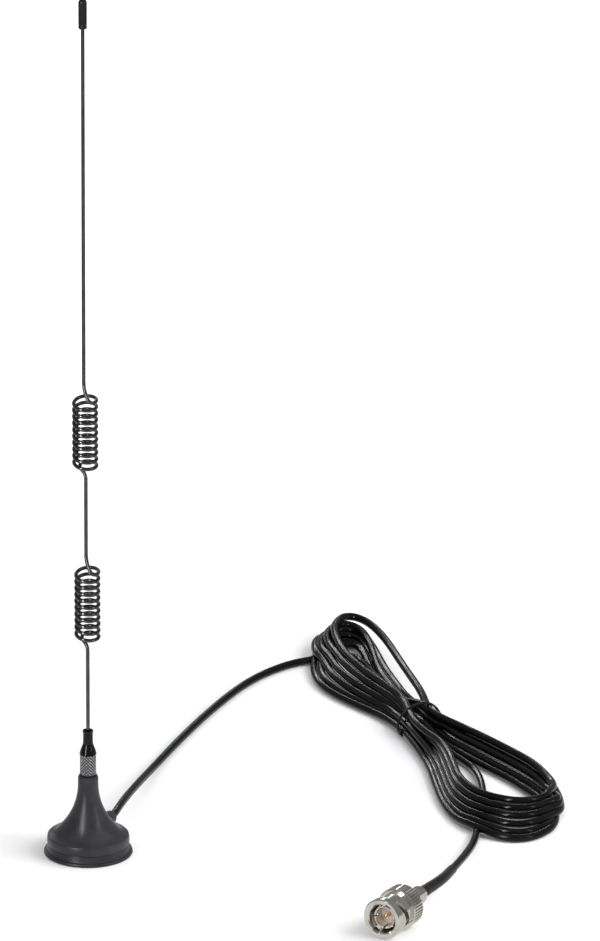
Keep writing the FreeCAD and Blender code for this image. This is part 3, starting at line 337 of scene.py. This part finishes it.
def knurl_and_thread(radius, height, turn):
    """r less the knurl's depth on the grip, and less a zigzag that rises one pitch a turn on the stud."""
    thread = (height > THREAD_FOOT) & (height < THREAD_TOP) & (radius > 1.8)
    groove = zigzag(height / THREAD_PITCH - turn / (2.0 * math.pi))
    return radius - KNURL_DEPTH * knurl_depth(height, turn) - thread * THREAD_DEPTH * groove


ferrule_line = np.vstack([
    [(0.0, 22.0), (1.5, 22.0)],
    np.linspace((STUD_RADIUS, 22.4), (STUD_RADIUS, 27.7), 54),
    rounded([(STUD_RADIUS, 27.75), (STUD_RADIUS, 28.0), (2.5, 28.0), (2.86, 28.25)], 0.1),
    np.linspace((GRIP_RADIUS, GRIP_FOOT), (GRIP_RADIUS, GRIP_TOP), 105),
    rounded([(2.88, 35.9), (2.84, 36.1), (2.62, 37.0), (1.9, 38.9), (1.74, 39.6), (1.68, 41.5), (1.7, 43.2),
             (1.84, 43.9), (1.84, 44.12), (1.62, 44.3), (1.42, 44.22), (1.2, 43.8), (0.62, 43.6)], 0.16, 5),
    [(0.61, 43.4), (0.61, 34.0), (0.0, 34.0)],
])
# The second colour is a painted highlight, near white, for the knurl's tips
CHROME_BLACK, GLINT_WHITE = (0.006, 0.006, 0.008), (1.0, 0.98, 1.0)
CHROME_ROUGHNESS = 0.14
chrome, chrome_start = material("black_chrome", CHROME_BLACK, CHROME_ROUGHNESS, metallic=0.8, coat=0.4)
chrome_grain = noise(chrome_start, 3.0, 2.0)
feed(chrome, "Roughness", chrome_grain.ramp(0.3, 0.7, CHROME_ROUGHNESS * 0.75, CHROME_ROUGHNESS * 1.3))
bump(chrome, chrome_grain, 0.25, 0.000004)
# This attribute carries the painted highlight on the knurl's tips: it turns the colour near white and the
# chrome less metallic
glint = chrome_start.node("ShaderNodeAttribute", {"attribute_name": "worn_tip"}, "Fac")
feed(chrome, "Base Color", glint.tint(CHROME_BLACK, GLINT_WHITE))
feed(chrome, "Metallic", 0.8 - 0.7 * glint)
ferrule = lathe("ferrule", ferrule_line, "black_chrome", "mast", 288, knurl_and_thread)
places = np.empty(len(ferrule.data.vertices) * 3, np.float32)
ferrule.data.vertices.foreach_get("co", places)
places = places.reshape(-1, 3).astype(float) / MM
# Painted highlight: each point on the grip gets a share of near white, larger the nearer it is to a diamond's
# tip
on_grip = (places[:, 2] > GLINT_FOOT) & (places[:, 2] < GLINT_TOP)
depth = knurl_depth(places[:, 2], np.arctan2(places[:, 1], places[:, 0]) % (2.0 * math.pi))
tips = np.where(on_grip, np.clip((GLINT_FROM - depth) * 4.0, 0.0, GLINT_MOST), 0.0)
glint_tips = ferrule.data.attributes.new("worn_tip", "FLOAT", "POINT")
glint_tips.data.foreach_set("value", tips)
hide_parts("mast_ferrule")

# Whip: one length of blackened spring steel wire, pressed into the ferrule. It is wound into two left handed
# coils: it enters each from below at the back and leaves it at the right front, across the top turn.

WIRE_RADIUS = 0.64
WIRE_FOOT, WIRE_TOP = 34.0, 304.5
COIL_RADIUS, COIL_PITCH, COIL_LEAN = 3.8, 2.345, 0.16
COIL_START, COIL_STEP, COIL_POINTS = 110.0, 20.0, 188
COIL_FEET = (77.5, 139.4)
COIL_CENTRES = (-0.05, -0.6)
# Where the straight lengths stand, their feet and their tops: each coil sets the wire a little to the left
WIRE_LINES = (0.0, -0.45, -1.03)
WIRE_FEET, WIRE_TOPS = (WIRE_FOOT, 110.0, 172.0), (71.0, 133.0, WIRE_TOP)


def curve_piece(name, points, radius, slot, body, resolution=8, order=3):
    """Round wire along a smooth line of control points, all in millimetres."""
    curve = bpy.data.curves.new(name, "CURVE")
    curve.dimensions = "3D"
    curve.bevel_depth = radius * MM
    curve.bevel_resolution = 5
    curve.use_fill_caps = True
    curve.resolution_u = resolution
    spline = curve.splines.new("NURBS")
    spline.points.add(len(points) - 1)
    spline.points.foreach_set("co", np.column_stack([points * MM, np.ones(len(points))]).ravel())
    spline.order_u = order
    spline.use_endpoint_u = True
    curve.materials.append(MATERIALS[slot])
    piece = bpy.data.objects.new(name, curve)
    bpy.context.scene.collection.objects.link(piece)
    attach(piece, body)
    return piece


def coil(centre, foot):
    """x = centre + r cos a, y = r sin a, z = foot + pitch for each turn + lean y, every 20 degrees.

    The control points lie outside the wire's own radius by what the smooth line cuts off.
    """
    angle = COIL_START - COIL_STEP * np.arange(COIL_POINTS)
    radius = COIL_RADIUS / ((2.0 + math.cos(math.radians(COIL_STEP))) / 3.0)
    aside, behind = radius * np.cos(np.radians(angle)), radius * np.sin(np.radians(angle))
    climb = COIL_PITCH * (COIL_START - angle) / 360.0
    return np.column_stack([centre + aside, behind, foot + climb + COIL_LEAN * behind])


def coiled(below, centre, above, foot):
    """The bend from the wire below, the turns, and the bend to the wire above."""
    turns = coil(centre, foot)
    head = turns[-1, 2] + 0.1
    return np.vstack([
        [(below, 0.0, foot - 5.0), (below, 0.0, foot - 3.4), (below - 0.7, 1.0, foot - 2.0),
         (centre - 2.3, 2.3, foot - 0.8)],
        turns,
        [(centre + 2.3, -3.3, head), (centre + 1.3, -3.4, head + 0.7), (centre + 0.4, -2.5, head + 2.1),
         (above + 0.3, -1.0, head + 3.7), (above, -0.1, head + 5.2), (above, 0.0, head + 6.6)],
    ])


def straight(length, count):
    """That straight length of wire: evenly spaced points from its foot to its top."""
    line = WIRE_LINES[length]
    return np.linspace((line, 0.0, WIRE_FEET[length]), (line, 0.0, WIRE_TOPS[length]), count)


whip_points = np.vstack([
    straight(0, 6),
    coiled(WIRE_LINES[0], COIL_CENTRES[0], WIRE_LINES[1], COIL_FEET[0]),
    straight(1, 4),
    coiled(WIRE_LINES[1], COIL_CENTRES[1], WIRE_LINES[2], COIL_FEET[1]),
    straight(2, 14),
])
metal_material("wire_black", (0.13, 0.13, 0.135), (0.09, 0.09, 0.092), 0.16, 2.0, 0.000002)
whip = curve_piece("whip_wire", whip_points, WIRE_RADIUS, "wire_black", "mast", resolution=3, order=4)
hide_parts("whip")

# Tip cap: moulded in glossy black plastic and pushed over the wire's end, which would scratch. It has a
# faint groove near its foot and a domed top.

CAP_RADIUS, DOME_LEVEL = 1.45, 305.65
dome_angle = np.linspace(0.0, math.pi / 2.0, 12)
dome = np.column_stack([CAP_RADIUS * np.cos(dome_angle), DOME_LEVEL + CAP_RADIUS * np.sin(dome_angle)])
cap_line = np.vstack([
    [(0.0, WIRE_TOP)],
    rounded([(0.6, 304.4), (0.6, 296.9), (0.75, 296.5), (1.2, 296.5), (1.42, 296.7), (CAP_RADIUS, 297.4),
             (1.38, 297.8), (CAP_RADIUS, 298.2), dome[0]], 0.12),
    dome[1:-1],
    [(0.0, DOME_LEVEL + CAP_RADIUS)],
])
black_material("cap_black", (0.004, 0.004, 0.0045), 0.2, 1.0, 0.00001, shine=0.4)
cap = lathe("cap", cap_line, "cap_black", "mast", 48, origin=(WIRE_LINES[2], 0.0, 0.0))
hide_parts("tip_cap")

# Plug: a turned brass body and slotted contact sleeve, nickel plated, with a gold plated pin between turned
# plastic insulators and a rubber gasket that seals on the jack. The stripped cable runs in from behind.

metal_material("nickel_plate", (0.78, 0.765, 0.71), (0.62, 0.6, 0.53), 0.17, 3.0, 0.000006)
dress("nickel_plate", "plug_body", "outer_contact")
pale_material("insulator_pink", (0.83, 0.69, 0.62), (0.76, 0.6, 0.53))
dress("insulator_pink", "insulator")
dress("insulator_white", "rear_bushing", "cable_core")
metal_material("pin_gold", (0.86, 0.6, 0.3), (0.7, 0.45, 0.2), 0.2, 3.0, 0.000005)
dress("pin_gold", "center_pin")
black_material("gasket_rubber", (0.2, 0.05, 0.04), 0.6, 6.0, 0.00002)
dress("gasket_rubber", "gasket")

# Coupling nut: turned and milled brass, nickel plated, that turns on the body behind a split steel ring. It
# pulls on a flat washer through a wave washer of spring steel, which keeps the bayonet tight.

dress("nickel_plate", "coupling_nut", "thrust_washer")
dress("plate_steel", "spring_washer", "retaining_ring")

# Crimp: a turned brass sleeve, nickel plated, that holds the cable's screen on the plug's tail. A hand tool
# has pressed it to six flats.

PLUG_FACE = (98.8, -77.9, 7.3)
PLUG_BACK = (math.cos(math.radians(60.0)), math.sin(math.radians(60.0)), 0.0)
FLAT_REACH, FLAT_FOOT, FLAT_TOP = 2.6, 19.4, 25.2


def six_flats(radius, height, turn):
    """The smaller of r and reach / cos(angle from the nearest flat's middle), where the tool pressed."""
    pressed = (height > FLAT_FOOT) & (height < FLAT_TOP) & (radius > 2.7)
    from_flat = (turn + math.pi / 6.0) % (math.pi / 3.0) - math.pi / 6.0
    return np.where(pressed, np.minimum(radius, FLAT_REACH / np.cos(from_flat)), radius)


crimp_line = np.vstack([
    [(1.6, 17.8), (3.0, 17.8), (3.0, 19.38)],
    np.linspace((3.0, 19.42), (3.0, 25.18), 6),
    rounded([(3.0, 25.22), (3.0, 25.4), (2.7, 25.7), (2.6, 26.4), (1.5, 26.4)], 0.1),
])
crimp = lathe("crimp", crimp_line, "nickel_plate", change=six_flats, origin=PLUG_FACE, way=PLUG_BACK)
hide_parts("crimp_ferrule")

# Shrunk sleeve: soft black tube over the cable, shrunk on by heat. Its foot, a little thicker, grips the cable
# against the crimp.

black_material("sleeve_black", (0.008, 0.008, 0.009), 0.36, 0.8, 0.00005)
dress("sleeve_black", "heat_shrink")
foot_line = rounded([(1.45, 26.3), (1.9, 26.3), (2.05, 26.6), (2.05, 29.0), (1.95, 31.0), (1.45, 31.0)], 0.1)
sleeve_foot = lathe("sleeve_foot", foot_line, "sleeve_black", columns=48, origin=PLUG_FACE, way=PLUG_BACK)

# Cable: thin coaxial cable in a glossy black jacket, one line out of the boss, over the floor, round the six
# turns of the hank and on to the plug. Its tinned core and screen are bared inside the bell.

CABLE_RADIUS = 1.35
CABLE_REST = 1.4
BOSS_ROOT = Vector((0.0, 0.0, BOSS_LEVEL))
# The lead starts inside the bell and runs straight through the boss
LEAD = [
    tuple(BOSS_WAY * 8.3 + BOSS_ROOT),
    tuple(BOSS_WAY * 12.0 + BOSS_ROOT),
    tuple(BOSS_WAY * 16.4 + BOSS_ROOT),
    (10.1, 21.5, 7.5),
    (13.2, 35.0, 6.6),
    (17.6, 54.0, 4.3),
    (22.2, 73.0, 1.8),
    (30.0, 96.5, CABLE_REST),
    (41.2, 125.2, CABLE_REST),
    (53.6, 151.2, CABLE_REST),
    (66.4, 166.2, CABLE_REST),
    (76.5, 171.2, CABLE_REST),
]
TAIL = [
    (131.6, 69.0, CABLE_REST),
    (133.7, 53.0, CABLE_REST),
    (133.2, 36.0, CABLE_REST),
    (131.5, 19.2, CABLE_REST),
    (130.6, 6.9, 1.6),
    (128.8, -6.0, 3.4),
    (125.2, -23.0, 5.7),
    (119.55, -41.96, 7.3),
    (114.3, -51.05, 7.3),
]
# The hank's own length runs towards the plug, its width to the side that faces away from the mast
HANK_CENTRE = np.array([112.5, 101.0, 0.0])
HANK_AZIMUTH = math.radians(-72.5)
HANK_AXES = np.array([
    (math.cos(HANK_AZIMUTH), math.sin(HANK_AZIMUTH), 0.0),
    (-math.sin(HANK_AZIMUTH), math.cos(HANK_AZIMUTH), 0.0),
    (0.0, 0.0, 1.0),
])
# Every turn passes these stations, somewhere on the line between two points: the outermost strand's, then the
# innermost one's, and the lay that says where each turn runs there
STATIONS = [
    (-56.0, 2.0, -60.0, 11.2, "rear_far"),
    (-42.0, 1.6, -44.0, 10.2, "rear_far"),
    (-28.0, 1.4, -28.0, 9.4, "rear_far"),
    (-15.0, 0.0, -15.0, 1.0, "waist_far"),
    (-4.0, 0.0, -4.0, 1.0, "waist_far"),
    (8.0, 14.4, 8.0, 3.5, "front_far"),
    (20.0, 19.6, 20.0, 6.0, "front_far"),
    (33.0, 24.2, 33.0, 9.8, "front_far"),
    (46.0, 28.0, 46.0, 14.6, "front_far"),
    (58.0, 28.6, 57.0, 18.2, "front_open"),
    (69.0, 27.6, 66.0, 20.6, "front_open"),
    (81.6, 24.2, 73.8, 21.0, "front_bend"),
    (91.4, 18.4, 78.8, 19.2, "front_tip"),
    (97.4, 11.2, 80.8, 13.6, "front_tip"),
    (99.0, 4.4, 79.6, 8.6, "front_tip"),
    (95.6, -2.0, 76.4, 4.6, "front_tip"),
    (86.6, -8.4, 71.0, 0.2, "front_cross"),
    (75.0, -11.4, 64.0, -2.6, "front_near"),
    (62.0, -11.4, 52.0, -3.4, "front_near"),
    (44.0, -8.6, 38.0, -0.8, "front_near"),
    (26.0, -5.2, 23.0, 1.2, "front_near"),
    (8.0, 0.0, 8.0, 1.0, "waist_near"),
    (-5.0, 0.0, -5.0, 1.0, "waist_near"),
    (-20.3, -6.6, -20.0, 0.6, "rear_near"),
    (-34.0, -12.6, -33.0, -1.6, "rear_near"),
    (-47.0, -17.2, -46.0, -4.0, "rear_near"),
    (-58.0, -18.4, -59.0, -5.6, "rear_near"),
    (-69.5, -16.4, -71.5, -5.6, "rear_near"),
    (-81.0, -12.6, -82.5, -4.4, "rear_side"),
    (-91.0, -8.2, -91.5, -2.0, "rear_side"),
    (-90.5, -1.5, -97.9, 3.2, "rear_tip"),
    (-88.0, 4.5, -96.8, 8.0, "rear_tip"),
    (-81.0, 5.4, -90.5, 11.0, "rear_tip"),
    (-69.0, 3.6, -77.0, 12.0, "rear_tip"),
]
REAR_TIP, REAR_TIP_STATIONS = 30, 4
# For each turn, from the lowest to the topmost: the share of the way from the first point to the second, and
# the height. Only the waist packs them.
LAYS = {
    "rear_far": [(-0.08, 1.4), (0.23, 1.4), (0.38, 3.7), (0.1, 3.8), (1.0, 5.8), (-0.2, 3.7)],
    "waist_far": [(6.2, 2.2), (3.5, 2.2), (8.9, 2.2), (4.9, 4.5), (7.6, 4.6), (6.2, 6.9)],
    "front_far": [(0.56, 1.4), (0.82, 1.4), (0.0, 1.4), (0.12, 3.9), (0.4, 3.9), (0.2, 6.3)],
    "front_open": [(0.5, 1.4), (0.88, 1.4), (0.0, 1.4), (0.12, 3.9), (0.36, 3.9), (0.22, 6.3)],
    "front_bend": [(0.3, 1.4), (0.6, 1.5), (0.0, 2.9), (0.04, 5.2), (0.12, 6.6), (0.8, 7.4)],
    "front_tip": [(0.0, 1.4), (0.2, 2.0), (0.4, 3.4), (0.6, 4.8), (0.8, 6.0), (1.0, 7.2)],
    "front_cross": [(0.0, 2.9), (0.2, 3.3), (0.4, 4.2), (0.6, 5.2), (0.8, 6.2), (1.0, 7.2)],
    "front_near": [(0.0, 1.4), (0.2, 1.9), (0.4, 3.3), (0.6, 4.6), (0.8, 6.0), (1.0, 7.2)],
    "waist_near": [(-4.6, 2.2), (-1.9, 2.2), (-3.2, 4.5), (0.8, 2.2), (-0.5, 4.5), (-1.9, 6.9)],
    "rear_near": [(0.0, 1.4), (0.2, 1.9), (0.4, 3.3), (0.6, 4.6), (0.8, 6.0), (1.0, 7.2)],
    "rear_side": [(0.1, 1.4), (0.45, 1.5), (0.0, 3.8), (0.3, 4.5), (0.62, 5.8), (1.0, 7.4)],
    "rear_tip": [(-0.3, 1.4), (0.05, 1.6), (0.3, 3.2), (0.55, 4.4), (0.75, 5.9), (1.05, 7.6)],
}
# The lead passes under the rear loop, and the last pass runs along the far side to the tail
LEAD_PASS = [(-79.5, -4.0, 1.4), (-76.0, 0.6, 1.4), (-67.0, 1.6, 1.8)]
LAST_PASS = [(-56.0, -1.5, 1.4), (-42.0, -1.5, 1.4), (-28.0, -1.0, 1.5), (-15.0, 2.2, 3.4),
             (-4.0, 2.2, 4.5), (8.0, 4.4, 2.2), (18.5, 5.2, 1.4), (27.0, 7.2, 1.4)]


def in_hank(points):
    """Centre + length x along + width x aside + height x up, in the frame's millimetres."""
    return np.array(points) @ HANK_AXES + HANK_CENTRE


def hank_turns():
    """Outer + (inner - outer) share at every station, for each turn from the topmost to the lowest.

    Over the rear tip's stations the share and height move by quarters to those of the next turn.
    """
    outer = np.array([station[0:2] for station in STATIONS])[:, None]
    inner = np.array([station[2:4] for station in STATIONS])[:, None]
    lay = np.array([LAYS[station[4]] for station in STATIONS])
    after = np.array([(0.0, CABLE_REST)] + LAYS["rear_far"][:-1])
    going = np.clip((np.arange(len(STATIONS)) - REAR_TIP) / REAR_TIP_STATIONS, 0.0, 1.0)[:, None, None]
    lay = lay + (after - lay) * going
    points = np.concatenate([outer + (inner - outer) * lay[:, :, :1], lay[:, :, 1:]], axis=2)
    return points.transpose(1, 0, 2)[::-1].reshape(-1, 3)


metal_material("wire_tinned", (0.72, 0.72, 0.72), (0.55, 0.55, 0.55), 0.35, 6.0, 0.00002)
dress("wire_tinned", "core_wire", "ground_braid")
black_material("cable_jacket", (0.003, 0.003, 0.0035), 0.17, 1.2, 0.00002, shine=0.2, spread=0.08)
hank_points = in_hank(np.vstack([LEAD_PASS, hank_turns(), LAST_PASS]))
cable_points = np.vstack([LEAD, hank_points, TAIL])
cable = curve_piece("cable", cable_points, CABLE_RADIUS, "cable_jacket", "base", resolution=6)
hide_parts("cable_lead", "cable_hank", "cable_tail")

# Tie: soft wire in a black plastic cover, drawn tight round the hank's waist on a slant. Its ends cross
# underneath, out of sight.

TIE_RADIUS = 0.45
TIE = [
    (-3.0, 2.0, 0.5),
    (-2.0, -3.6, 0.5),
    (-2.2, -6.6, 1.6),
    (-4.8, -6.9, 4.0),
    (-7.4, -4.2, 7.2),
    (-9.2, 0.4, 8.9),
    (-10.6, 4.6, 9.1),
    (-10.7, 8.2, 7.8),
    (-9.8, 10.4, 4.6),
    (-7.8, 10.8, 1.6),
    (-5.0, 7.4, 0.5),
]
black_material("tie_black", (0.006, 0.006, 0.007), 0.3, 3.0, 0.00002)
tie = curve_piece("wire_tie", in_hank(TIE + TIE[:2]), TIE_RADIUS, "tie_black", "base")
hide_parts("hank_tie")

# Studio: a white floor that shows as plain white but for soft shadows. Reflections see it glow below the
# object and less to the sides, which darkens the metal's edges, and the camera sees it brighter far behind.

FLOOR_HALF = 3.0


def floor_material():
    made = bpy.data.materials.new("studio_floor")
    made.use_nodes = True
    tree = made.node_tree
    shader = tree.nodes["Principled BSDF"]
    shader.inputs["Roughness"].default_value = 0.9
    shader.inputs["Specular IOR Level"].default_value = 0.1
    shader.inputs["Emission Strength"].default_value = 1.2
    rays = tree.nodes.new("ShaderNodeLightPath")
    glossy = Socket(tree, rays.outputs["Is Glossy Ray"])
    seen = Socket(tree, rays.outputs["Is Camera Ray"])
    place = Socket(tree, tree.nodes.new("ShaderNodeNewGeometry").outputs["Position"])
    aside = abs(place.node("ShaderNodeSeparateXYZ", Vector=place) - 0.05)
    behind = place.node("ShaderNodeSeparateXYZ", None, 1, Vector=place)
    glow = seen * behind.ramp(0.1, 0.6, 0.0, 0.28) + glossy * aside.ramp(0.1, 0.6, 0.6, 0.25)
    feed(shader, "Base Color", glossy.tint((0.9, 0.9, 0.91), (0.0, 0.0, 0.0)))
    feed(shader, "Emission Color", glow.tint((0.0, 0.0, 0.0), (1.0, 1.0, 1.0)))
    return made


floor_mesh = bpy.data.meshes.new("floor")
floor_corners = [(-FLOOR_HALF, -FLOOR_HALF, 0.0), (FLOOR_HALF, -FLOOR_HALF, 0.0),
                 (FLOOR_HALF, FLOOR_HALF, 0.0), (-FLOOR_HALF, FLOOR_HALF, 0.0)]
floor_mesh.from_pydata(floor_corners, [], [(0, 1, 2, 3)])
floor_mesh.materials.append(floor_material())
floor = bpy.data.objects.new("floor", floor_mesh)
bpy.context.scene.collection.objects.link(floor)

# Lights: a broad soft key from the right that throws the shadows, and three narrow strips, seen as the bright
# lines on cable, wire and plug, in a dim surround that reflections see darker still.


def area_light(name, place, target, width, height, power, mirrored=True, brightens=True):
    """A rectangle of light. Unless it is mirrored it gives no highlight, unless it brightens only that."""
    lamp = bpy.data.lights.new(name, "AREA")
    lamp.shape = "RECTANGLE"
    lamp.size = width
    lamp.size_y = height
    lamp.energy = power
    made = bpy.data.objects.new(name, lamp)
    made.location = place
    made.rotation_euler = (Vector(target) - Vector(place)).to_track_quat("-Z", "Y").to_euler()
    made.visible_glossy = mirrored
    made.visible_diffuse = brightens
    bpy.context.scene.collection.objects.link(made)


area_light("key", (0.9, -0.1, 0.6), (0.07, 0.07, 0.0), 0.8, 0.8, 9.5, mirrored=False)
area_light("left_strip", (-0.55, -0.8, 0.55), (0.0, 0.0, 0.05), 0.12, 1.1, 8.0, brightens=False)
area_light("right_strip", (0.9, -0.5, 0.6), (0.07, 0.05, 0.05), 0.06, 0.8, 1.5)
area_light("back", (-0.3, 1.6, 0.7), (0.07, 0.1, 0.0), 1.0, 0.05, 2.2)

world = bpy.data.worlds.new("studio")
bpy.context.scene.world = world
world.use_nodes = True
backdrop = world.node_tree.nodes["Background"]
backdrop.inputs["Strength"].default_value = 1.0
world_rays = world.node_tree.nodes.new("ShaderNodeLightPath")
world_seen = Socket(world.node_tree, world_rays.outputs["Is Camera Ray"])
world_glossy = Socket(world.node_tree, world_rays.outputs["Is Glossy Ray"])
surround = (0.8 + 0.2 * world_seen - 0.56 * world_glossy).tint((0.0, 0.0, 0.0), (1.0, 1.0, 1.0))
world.node_tree.links.new(surround.output, backdrop.inputs["Color"])

# Camera: the photograph's, which looks down on the floor at 21.4 degrees. Its very long lens from far away
# keeps the view all but parallel.

TILT = math.radians(21.4)
DISTANCE = 8.853
SIGHT = Vector((0.0, math.cos(TILT), -math.sin(TILT)))
IMAGE_UP = Vector((0.0, math.sin(TILT), math.cos(TILT)))
LOOK_AT = Vector((0.07148, 0.071, 0.110)) + IMAGE_UP * 0.00035
camera_data = bpy.data.cameras.new("camera")
camera_data.lens = 1000.0
camera_data.sensor_width = 36.0
camera_data.clip_end = 100.0
camera = bpy.data.objects.new("camera", camera_data)
camera.location = LOOK_AT - SIGHT * DISTANCE
camera.rotation_euler = SIGHT.to_track_quat("-Z", "Y").to_euler()
bpy.context.scene.collection.objects.link(camera)
bpy.context.scene.camera = camera
bpy.context.scene.view_settings.view_transform = "Standard"

bpy.context.view_layer.update()
